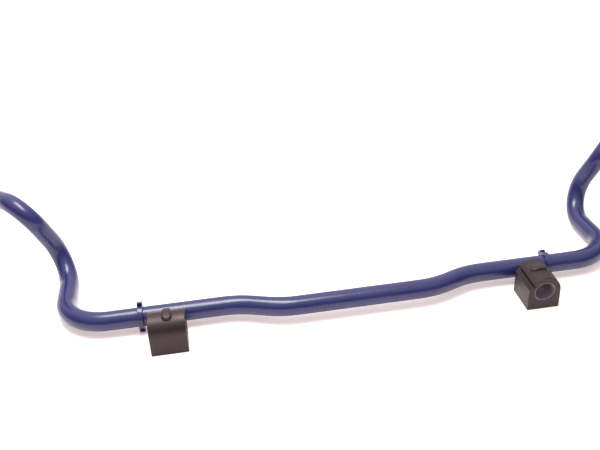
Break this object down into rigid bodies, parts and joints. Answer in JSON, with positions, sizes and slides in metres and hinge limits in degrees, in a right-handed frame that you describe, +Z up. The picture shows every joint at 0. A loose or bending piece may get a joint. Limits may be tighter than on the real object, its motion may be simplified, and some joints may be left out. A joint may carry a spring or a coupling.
{
  "type": "sway bar with clamp rings and bushings",
  "caption": "Bent round anti-roll bar with forged link eyes, clamp rings at its seats and loose slit D-shaped rubber bushings beside it.",
  "frame": {"origin": "centre of the set's footprint, on the surface it stands on", "axes": "+X along the bar to the end with the bushing whose bore points forward, +Y towards the arms, +Z up"},
  "size_m": [1, 0.3287, 0.1338],
  "materials": {
    "coat": "blue powder coat, semi-gloss, light orange peel",
    "screw": "socket-head screw under the same blue powder coat, darker in the socket",
    "rubber": "moulded dark grey, satin",
    "liner": "low-friction woven sleeve, dark grey"
  },
  "bodies": {
    "bar": {"sway_bar": "coat", "left_ring_front_half": "coat", "left_ring_rear_half": "coat", "left_ring_upper_screw": "screw", "left_ring_lower_screw": "screw", "right_ring_front_half": "coat", "right_ring_rear_half": "coat", "right_ring_upper_screw": "screw", "right_ring_lower_screw": "screw"},
    "left_bushing_set": {"left_bushing": "rubber", "left_bushing_liner": "liner"},
    "right_bushing_set": {"right_bushing": "rubber", "right_bushing_liner": "liner"}
  },
  "joints": [
    {"name": "left_bushing_lift", "type": "slide", "parent": "bar", "child": "left_bushing_set", "axis": [0, 0, 1], "range_m": [0, 0.12]},
    {"name": "right_bushing_lift", "type": "slide", "parent": "bar", "child": "right_bushing_set", "axis": [0, 0, 1], "range_m": [0, 0.12]}
  ]
}
